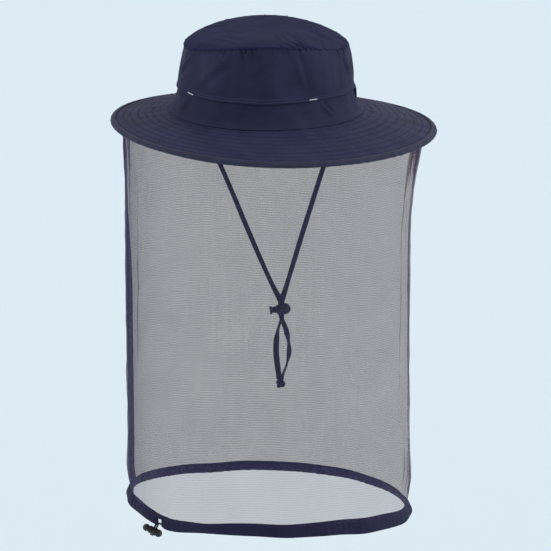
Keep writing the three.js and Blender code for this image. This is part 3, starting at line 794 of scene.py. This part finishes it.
def make_lining():
    profile = np.array([
        [3, 85], [40, 84], [69, 80], [80, 77], [84, 75.2], [85.2, 73], [87.4, 52], [88.4, 30], [88.4, 21.5],
    ])
    angle = ring(360)
    gone = distances(profile)
    t = np.linspace(0, gone[-1], 70)
    r, z = (np.interp(t, gone, profile[:, k])[:, None] for k in (0, 1))
    shift = np.interp(-z, [-77, -30], [-2.2, -3.4])
    points = polar(r, angle, z - 0.6 + crown_wave(angle, z, np.minimum(1, r / CROWN_SEAM_R) ** 2), shift)
    relief = 0.3 * ripple(angle, t[:, None] / 25, 61, 5, 20, 1.0) * ease(r, 10, 40) - 0.3
    lining = grid("crown_lining_fabric", raised(points, relief), ring_length(360, 80), t * MM,
                  lining_cloth, centre=True)
    return thicken(lining, 0.4)


def make_vent():
    z = np.linspace(46, 27, 14)[:, None]
    r = np.interp(-z, [-46, -34, -27], [89.2, 89.7, 90.2])
    points = polar(r, ring(360), z + crown_wave(ring(360), z), -3.4)
    return grid("crown_vent_netting", points, ring_length(360, SIDE_R), z[:, 0] * MM, vent_cloth)


def ring_solid(name, section, warp, material, columns=360, wobble=None):
    """A closed section turned round the hat. warp places each (r, angle, z)."""
    section = np.array(section, float)
    angle = ring(columns)
    r, z = section[:, 0, None] + 0 * angle, section[:, 1, None] + 0 * angle
    if wobble is not None:
        r, z = r + wobble[0], z + wobble[1]
    points = warp(r, angle, z)
    around = distances(np.vstack([section, section[:1]])) * MM
    length = ring_length(columns, section[:, 0].mean())
    return outwards(grid(name, points, length, around, material, close=True))


def make_sweatband():
    section = tape_section(19, 1.3, 20)[:, ::-1] + [89.9, 10.5]
    wobble = (0.1 * ripple(ring(360), 0, 71, 10, 30), 0.35 * ripple(ring(360), 0, 72, 4, 14))

    def warp(r, angle, z):
        return polar(r, angle, z, -2.2 * ease(z, 9, 19))
    return ring_solid("sweatband_webbing", section, warp, sweat_cloth, wobble=wobble)


def make_tacks():
    """Bar tacks: dense zigzag stitching over the flap's edge. The first one leans."""
    for index, deg in enumerate(TACK_DEGS):
        angle = math.radians(deg)
        across = np.array([-math.sin(angle), math.cos(angle), 0])
        out = np.array([math.cos(angle), math.sin(angle), 0])
        lean = -0.1 if index == 0 else 0.0
        centre = TACK_R * out + [TACK_SHIFT, 0, FLAP_Z + 1.4]
        route = []
        for step in range(25):
            along = (step - 12) * 0.4
            rise = 0.45 * (-1) ** step + along * lean
            route.append(centre + across * along + out * 0.25 * (step % 2) + [0, 0, rise])
        tack = tube(f"bar_tack_stitching_{index + 1}", smooth_route(route, 3), round_section(0.3, 8),
                    thread_white, wide=tuple(out))
        attach(tack, f"bar_tack_{index + 1}", "hat")


def make_hang_tab():
    route = [[89.0, 0, 27.6], [90.2, 0, 25.6], [91.1, 0, 23.4], [91.6, 0, 20], [91.9, 0, 16], [91.9, 0, 13.4],
             [91.1, 0, 12.4], [90.5, 0, 13.4], [90.4, 0, 16], [90.2, 0, 20], [89.6, 0, 24]]
    return tube("hang_tab_webbing", smooth_route(route, 6), tape_section(8, 1.9), seam_tape, wide=(0, 1, 0))


# ---- Brim ----
def rim_z(angle):
    return BRIM_RIM_Z - 5.8 * np.cos(angle) + 2.2 * np.cos(2 * angle) + 0.6 * np.sin(angle)


def brim_share(r):
    return np.maximum(0, (r - BRIM_IN_R) / (BRIM_OUT_R - BRIM_IN_R))


def brim_mid(r, angle):
    return BRIM_ROOT_Z + (rim_z(angle) - BRIM_ROOT_Z) * brim_share(r) ** BRIM_BOW


def brim_point(r, angle, z):
    return polar(r, angle, brim_mid(r, angle) + z, BRIM_SHIFT * brim_share(r))


def quilting(r, angle, seed):
    """The puff between the brim's stitch rows, with the puckers that the thread pulls in."""
    rows = np.array(STITCH_ROWS, float)
    nearest = np.min([np.abs(r - row) for row in rows], axis=0)
    groove = -0.55 * bell(nearest, 0, 0.8)
    pucker = 0.12 * ripple(angle, r / 9, seed, 90, 190, 1.5) * bell(nearest, 0, 2.6)
    swell = 0.2 + 0.2 * ripple(angle, r / 24, seed + 1, 10, 44, 1.4)
    free = ease(r, BRIM_IN_R, 100) * (1 - ease(r, 164, 167))
    return (0.35 + groove + pucker + swell) * free


def make_brim_face(name, columns, rows, side, material, seed):
    angle = ring(columns)
    r = np.linspace(BRIM_IN_R, BRIM_OUT_R - 1.3, rows)[:, None]
    skin = BRIM_HALF + quilting(r, angle, seed)
    points = brim_point(r, angle, side * skin)
    face = grid(name, points, ring_length(columns, 135), r[:, 0] * MM, material, flip=side < 0)
    return thicken(face, 0.3)


def make_binding():
    lip = BRIM_HALF + 0.45
    section = [
        [166.8, lip + 0.1], [167.4, lip + 0.5], [169.5, lip + 0.6], [171.3, lip + 0.45], [172.4, lip - 0.5],
        [172.75, 0], [172.4, 0.5 - lip], [171.3, -lip - 0.45], [169.5, -lip - 0.6], [167.4, -lip - 0.5],
        [166.8, -lip - 0.1], [167.4, -lip], [170.8, -lip], [171.3, 0], [170.8, lip], [167.4, lip],
    ]
    angle = ring(1080)
    wobble = (0.22 * ripple(angle, 0, 81, 30, 120), 0.10 * ripple(angle, 0, 82, 60, 200))
    return ring_solid("brim_edge_binding", section, brim_point, binding_tape, columns=1080, wobble=wobble)


# ---- Net ----
NET_UV_R, NET_UV_DROP = 151, 0.41  # the net's pattern: radius in millimetres, and drop in metres
HEM_OVERLAP = 2.0  # how far the net's lower edge runs into the hem
NET_REACH = HEM_HEIGHT / 2 - HEM_OVERLAP
LEAN_INSET = 4.5  # how far a leaning hem moves in, so that its outline stays
HEM_LEAN = math.radians(36)
HEM_ROLL = {"angle": math.radians(32), "deg": 243, "spread": 13}
HEM_FLARE = {"more": 0.25, "deg": 315, "spread": 28}
DIP_SHARE = 0.7  # share of the hem's dips that the net's edge makes up for


def hump(angle, deg, spread):
    """1 at deg, fading to 0 over a few times spread degrees."""
    return bell((np.degrees(angle) - deg + 540) % 360 - 180, 0, spread)


def net_form(share):
    """Radius and shift of the net at a share of its drop, eased through the points of NET_SHAPE."""
    dense = np.linspace(0, 1, 201)
    kernel = np.hanning(23) / np.hanning(23).sum()
    made = []
    for column in (1, 2):
        drawn = np.interp(dense, NET_SHAPE[:, 0], NET_SHAPE[:, column])
        smoothed = np.convolve(np.pad(drawn, 11, mode="edge"), kernel, "valid")
        made.append(np.interp(share, dense, smoothed))
    return made


def net_top(angle):
    return brim_mid(NET_TOP_R, angle) - 1.85


def hem_z(x, angle):
    z = HEM_MID_Z + HEM_SLOPE * x
    for deg, depth, spread in HEM_DIPS:
        z = z - depth * hump(angle, deg, spread)
    return z


def hem_wave(angle):
    return 0.35 * ripple(angle, 0, 95, 5, 19)


def hem_lean(angle):
    """The hem leans in at its top round the sides and back, and rolls outwards at one place in front."""
    rolled = HEM_ROLL["angle"] * hump(angle, HEM_ROLL["deg"], HEM_ROLL["spread"])
    return HEM_LEAN * ease(np.sin(angle), -0.75, 0.6) - rolled


def hem_width(angle):
    """How much of the channel's full width is spread flat."""
    return 1 + HEM_FLARE["more"] * hump(angle, HEM_FLARE["deg"], HEM_FLARE["spread"])


def net_reach(angle):
    """How far up from the hem's middle the net's edge ends: deeper where the hem hangs low, so that a
    lifted hem stays closed."""
    x = HEM_R * np.cos(angle)
    low = HEM_MID_Z + HEM_SLOPE * x - hem_z(x, angle)
    by_gap = hump(angle, HEM_GAP_DEG, 3.5)
    return NET_REACH * hem_width(angle) - DIP_SHARE * np.maximum(0, low) * (1 - by_gap)


def net_bottom(angle):
    return (hem_z(HEM_R * np.cos(angle), angle) + net_reach(angle) * np.cos(hem_lean(angle))
            + hem_wave(angle))


def split_share(angle):
    """The share of the drop at which the net crosses the plane that the hem's slide starts from."""
    share = 0.1
    top, bottom = net_top(angle), net_bottom(angle)
    for _ in range(4):
        r, shift = net_form(share)
        share = (SPLIT_Z + HEM_SLOPE * (r * np.cos(angle) + shift) - top) / (bottom - top)
    return share


def net_points(angle, share):
    r, shift = net_form(share)
    held = ease(share, 0, 0.05) * (1 - 0.8 * ease(share, 0.94, 1))
    left = hump(angle, 192, 24) * ease(share, 0.02, 0.15) * (1 - ease(share, 0.5, 0.75))
    right = hump(angle, 352, 20) * (1 - ease(share, 0.4, 0.8))
    sides = bell((np.degrees(angle) + 90) % 180 - 90, 0, 28)
    wave = 0.7 * ripple(angle, share * 5, 91, 52, 84, 0.7) + 0.9 * ripple(angle, share * 3, 92, 9, 26, 0.8)
    pleats = 2.6 * ripple(angle, share * 4, 93, 30, 64, 0.7) * left
    pleats = pleats + 0.9 * ripple(angle, share * 5, 94, 24, 50) * right
    at_top = sides * ease(share, 0.0, 0.02) * (1 - ease(share, 0.05, 0.2))
    gathered = 1.9 * ripple(angle, share * 3, 99, 70, 110) * at_top
    at_hem = sides * ease(share, 0.82, 0.92) * (1 - ease(share, 0.96, 1))
    low = 1.2 * ripple(angle, share * 4, 100, 40, 80) * at_hem
    puffs = 0.35 * ripple(angle, share * 60, 96, 12, 40, 1.0)
    lean = hem_lean(angle)
    tucked = net_reach(angle) * np.sin(lean) + LEAN_INSET * np.sin(np.maximum(0, lean))
    r = r + (wave + pleats + puffs) * held + gathered + low - tucked * ease(share, 0.93, 1)
    z = net_top(angle) * (1 - share) + net_bottom(angle) * share
    return polar(r, angle, z, shift)


NET_COLUMNS = 1080


def make_net(name, start, end, rows):
    """The net between two shares of its drop, each given at every column."""
    t = np.linspace(0, 1, rows)[:, None]
    points = net_points(ring(NET_COLUMNS), start * (1 - t) + end * t)
    along = np.interp(t[:, 0], [0, 1], [np.mean(start) * NET_UV_DROP, np.mean(end) * NET_UV_DROP])
    return grid(name, points, ring_length(NET_COLUMNS, NET_UV_R), along, net_cloth)


def fin_route(start, end, count):
    angle = math.radians(SEAM_DEG)
    share = np.linspace(start, end, count)
    r, shift = net_form(share)
    z = net_top(angle) * (1 - share) + net_bottom(angle) * share
    stand = ease(share, 0.18, 0.5)
    lean = (NET_REACH + LEAN_INSET) * math.sin(hem_lean(angle)) * ease(share, 0.93, 1)
    inset = 1.3 + 2.3 * stand + lean
    route = np.stack([(r - inset) * math.cos(angle) + shift, (r - inset) * math.sin(angle), z], -1)
    return route, (1 - stand) * math.pi / 2


def make_fin(name, start, end, count):
    """The net's bound seam allowance: flat against the net near the brim, standing inwards lower down."""
    route, turn = fin_route(start, end, count)
    angle = math.radians(SEAM_DEG)
    out = (math.cos(angle), math.sin(angle), 0)
    return tube(name, route, tape_section(6.0, 1.0), fin_tape, wide=out, turn=turn)


def make_header():
    def warp(r, angle, z):
        return polar(r, angle, net_top(angle) + z, NET_TOP_SHIFT)
    section = [
        [157.0, 0.2], [156.4, 0.3], [155.9, -0.2], [153.8, -8.6], [154.0, -9.0], [154.7, -8.9], [156.0, -4],
    ]
    return ring_solid("net_header_binding", section, warp, seam_tape, columns=540)


def follow_hem(piece):
    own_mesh(piece)


def make_nets():
    angle = ring(NET_COLUMNS)
    split = split_share(angle)
    upper = make_net("net_upper", 0 * angle, split, 16)
    lower = make_net("net_lower", split, 0 * angle + 1, 118)
    for piece in (upper, lower):
        attach(piece, "net", "hat")
    fin_split = float(split_share(np.array([math.radians(SEAM_DEG)]))[0])
    fin_upper = make_fin("net_seam_fin_upper", 0.012, fin_split, 12)
    fin_lower = make_fin("net_seam_fin_lower", fin_split, 0.985, 90)
    for piece in (fin_upper, fin_lower):
        attach(piece, "net_seam_tape", "hat")
    for piece in (lower, fin_lower):
        follow_hem(piece)


# ---- Hem ----
def hem_section():
    """The channel's section: a folded tape, fuller at the bottom where the drawcord lies."""
    x, y = HEM_HEIGHT / 2, 1.8
    return np.array([
        [x, 0.5], [x - 0.5, 1.0], [x - 2.4, 1.05], [x - 3.2, 1.4], [2, y], [-3, y + 0.5], [-5.6, y + 0.2],
        [-x + 0.2, 0.9], [-x, 0], [-x + 0.2, -0.9], [-5.6, -y - 0.2], [-3, -y - 0.5], [2, -y],
        [x - 3.2, -1.4], [x - 2.4, -1.05], [x - 0.5, -1.0], [x, -0.5],
    ])


def hem_point(deg, rise=0.0):
    """A point above the middle of the hem's channel."""
    angle = math.radians(deg)
    x = HEM_R * math.cos(angle)
    return np.array([x, HEM_R * math.sin(angle), float(hem_z(x, angle)) + rise])


def make_hem():
    """The hem's channel, open where the drawcord leaves it, and the strip that bridges the opening's top."""
    half_gap = math.degrees(HEM_GAP_WIDTH / 2 / HEM_R)
    deg = np.linspace(HEM_GAP_DEG + half_gap, HEM_GAP_DEG + 360 - half_gap, 721)
    angle = np.radians(deg)
    tuck = 1 - ease(np.minimum(deg - deg[0], deg[-1] - deg), 0, 2.2)
    lean = hem_lean(angle)
    r = HEM_R + 0.5 * ripple(angle, 0, 97, 5, 22) * (1 - tuck) - 0.8 * tuck
    r = r - LEAN_INSET * np.sin(np.maximum(0, lean))
    z = hem_z(r * np.cos(angle), angle) + hem_wave(angle) * (1 - tuck)
    route = polar(r, angle, z)
    section = hem_section()
    out = polar(1.0, angle, 0.0)
    lean = lean[:, None]
    up, out = np.cos(lean) * [0, 0, 1.0] - np.sin(lean) * out, np.cos(lean) * out + np.sin(lean) * [0, 0, 1.0]
    pucker = 1 + 0.10 * ripple(angle, section[:, 0, None] / 4, 98, 60, 140, 1.0)
    height = section[:, 0, None] * (1 - 0.08 * tuck) * hem_width(angle)
    depth = section[:, 1, None] * (1 - 0.35 * tuck) * pucker
    points = route + height[..., None] * up + depth[..., None] * out
    around = distances(np.vstack([section, section[:1]])) * MM
    hem = grid("hem_channel", points, distances(route) * MM, around, hem_tape, wrap=False, close=True,
               cap=True)
    bridge_route = [hem_point(deg, HEM_HEIGHT / 2 - 2.6) for deg in np.linspace(-5, 5, 40) + HEM_GAP_DEG]
    gap = math.radians(HEM_GAP_DEG)
    bridge = tube("hem_channel_bridge", np.array(bridge_route), tape_section(2.9, 5.0), hem_tape,
                  wide=(math.cos(gap), math.sin(gap), 0))
    for piece in (outwards(hem), bridge):
        attach(piece, "hem_band", "hem")


CORD_UP = np.array([math.sin(TOGGLE_TILT), 0, math.cos(TOGGLE_TILT)])
CORD_ACROSS = np.array([math.cos(TOGGLE_TILT), 0, -math.sin(TOGGLE_TILT)])
TOGGLE_AT = hem_point(HEM_GAP_DEG) - TOGGLE_DROP * CORD_UP
DRAWCORD_D = 2.0


def drawcord_tail(side):
    """One end of the drawcord: from behind the lock, through it and up into the channel."""
    tail = ((5.6, -2.2, 0.5), (4.2, -4.2, 0.8), (1.2, -4.8, 1.0), (0, 0, 1.1), (0, 5, 1.1), (0, 10, 1.1))
    points = [TOGGLE_AT + [0, back, 0] + up * CORD_UP + side * wide * CORD_ACROSS
              for back, up, wide in tail]
    for deg, rise in ((1.1, -3.4), (2.6, -1), (5, 0)):
        points.append(hem_point(HEM_GAP_DEG + side * deg, rise))
    return points


def make_drawcord():
    points = drawcord_tail(1)
    points += [hem_point(HEM_GAP_DEG + deg) for deg in range(15, 350, 10)]
    points += drawcord_tail(-1)[::-1]
    cord = tube("hem_drawcord_braid", smooth_route(points, 5), round_section(DRAWCORD_D / 2, 10), strap_braid,
                wide=(0.1, 0.2, 1))
    t = ring(90)
    lump = [np.sin(t) + 2 * np.sin(2 * t), np.cos(t) - 2 * np.cos(2 * t), -1.4 * np.sin(3 * t)]
    knot_route = TOGGLE_AT - 2.6 * CORD_UP + [0, 6.6, 0] + np.stack(lump, -1) * 0.5
    knot = tube("hem_drawcord_knot", knot_route, round_section(0.9, 10), strap_braid, wide=(0.3, 0.1, 1),
                closed=True)
    attach(cord, "hem_drawcord", "hem")
    attach(knot, "hem_cord_knot", "hem")


def make_hem_toggle():
    r = 4.15
    ribs = []
    for x in (-2.6, 0.6, 3.8):
        ribs += [[x - 0.65, r], [x - 0.3, r - 0.45], [x + 0.3, r - 0.45], [x + 0.65, r]]
    barrel = [[-5.2, 0], [-5.2, r - 0.5], [-4.9, r - 0.1], [-4.5, r], *ribs, *arc(9.6 - r, r, 84, 0)]
    button = [*arc(-8.6, 3.9, 180, 92, 12), [-7.7, 3.9], [-7.5, 3.7], [-7.4, 3.3], [3.2, 3.3], [3.4, 3.1],
              [3.4, 0]]
    make_lock(
        ("hem_toggle_housing", "hem_toggle_push_button"), ("hem_toggle_barrel", "hem_toggle_plunger"),
        ("hem_toggle", "hem_toggle_button"), (barrel, button), (3.4, -6.2, 7.0), (2.5, 1.35, 2.2),
        placed(TOGGLE_AT, TOGGLE_TILT), toggle_plastic)


def make_anchors():
    """The straps' anchor tapes, sewn to the sweatband."""
    for side, name in ((-1, "chin_anchor_left"), (1, "chin_anchor_right")):
        angle = -math.pi / 2 + side * math.radians(90 - ANCHOR_DEG)
        x, y = ANCHOR_R * math.cos(angle), ANCHOR_R * math.sin(angle)
        route = smooth_route([[x, y, 9.4], [x, y, 5], [x, y, 0], [x, y, -3.4]], 8)
        anchor = tube(name + "_tape", route, tape_section(10, 1.2), seam_tape,
                      wide=(-math.sin(angle), math.cos(angle), 0))
        attach(anchor, name, "hat")


def make_hat():
    rows = (
        (make_crown_top(), "crown_top", "navy_fabric"),
        (make_crown_side(), "crown_side", "navy_fabric"),
        (make_crown_band(), "crown_band", "navy_fabric"),
        (make_vent(), "crown_vent_mesh", "vent_mesh"),
        (make_lining(), "crown_lining", "lining"),
        (make_sweatband(), "sweatband", "sweatband"),
        (make_hang_tab(), "hang_tab", "webbing_tape"),
        (make_brim_face("brim_top_cloth", 1080, 110, 1, brim_cloth, 83), "brim_top_fabric", "brim_fabric"),
        (make_brim_face("brim_under_cloth", 720, 80, -1, under_shaded_cloth, 85),
         "brim_under_fabric", "brim_fabric"),
        (make_binding(), "brim_binding", "webbing_tape"),
        (make_header(), "net_header_tape", "webbing_tape"),
    )
    for piece, node, slot in rows:
        attach(piece, node, "hat")
    make_tacks()


def finish_cad_nodes():
    """The CAD pieces that stay as they are get a finished material."""
    finishes = (
        ("brim_stiffener", stiffener_sheet), ("hem_toggle_spring", spring_steel),
        ("chin_lock_spring", spring_steel),
    )
    for name, material in finishes:
        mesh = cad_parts[name].data
        mesh.materials.clear()
        mesh.materials.append(material)


make_hat()
make_nets()
make_hem()
make_drawcord()
make_hem_toggle()
make_anchors()
finish_cad_nodes()

# ---- Floor and light ----
BACKDROP = (0.723, 0.831, 0.905)
FLOOR_DROP = 0.3


def make_floor():
    size = 40
    z = CAD_BOX[0][2] - FLOOR_DROP
    mesh = bpy.data.meshes.new("floor")
    mesh.from_pydata([(x, y, z) for x, y in ((-size, -size), (size, -size), (size, size), (-size, size))], [],
                     [(0, 1, 2, 3)])
    material = bpy.data.materials.new("floor")
    material.use_nodes = True
    shader = material.node_tree.nodes["Principled BSDF"]
    shader.inputs["Base Color"].default_value = (0.785, 0.896, 0.977, 1)
    shader.inputs["Roughness"].default_value = 1
    shader.inputs["Specular IOR Level"].default_value = 0
    new_object("floor", mesh, material)


def make_world(strength):
    """Soft light from all round, with the floor's own colour behind the object."""
    world = bpy.data.worlds.new("studio")
    bpy.context.scene.world = world
    world.use_nodes = True
    nodes, links = world.node_tree.nodes, world.node_tree.links
    light = nodes["Background"]
    light.inputs["Color"].default_value = (1, 1, 1, 1)
    light.inputs["Strength"].default_value = strength
    seen = nodes.new("ShaderNodeBackground")
    seen.inputs["Color"].default_value = (*BACKDROP, 1)
    path = nodes.new("ShaderNodeLightPath")
    mix = nodes.new("ShaderNodeMixShader")
    links.new(path.outputs["Is Camera Ray"], mix.inputs[0])
    links.new(light.outputs[0], mix.inputs[1])
    links.new(seen.outputs[0], mix.inputs[2])
    links.new(mix.outputs[0], nodes["World Output"].inputs["Surface"])


def make_sun(name, towards, strength, spread):
    data = bpy.data.lights.new(name, "SUN")
    data.energy = strength
    data.angle = math.radians(spread)
    sun = bpy.data.objects.new(name, data)
    bpy.context.scene.collection.objects.link(sun)
    sun.rotation_euler = Vector(towards).to_track_quat("Z", "Y").to_euler()


make_floor()
make_world(0.45)
make_sun("key", (0.93, -0.1, 0.4), 1.35, 40)
make_sun("fill", (-0.93, -0.1, 0.4), 0.95, 50)
make_sun("top", (0.1, 0.1, 1), 0.4, 60)
make_sun("rim", (0.1, 0.9, 0.5), 0.4, 50)
bpy.context.scene.view_settings.view_transform = "Standard"
bpy.context.scene.cycles.transparent_max_bounces = 32
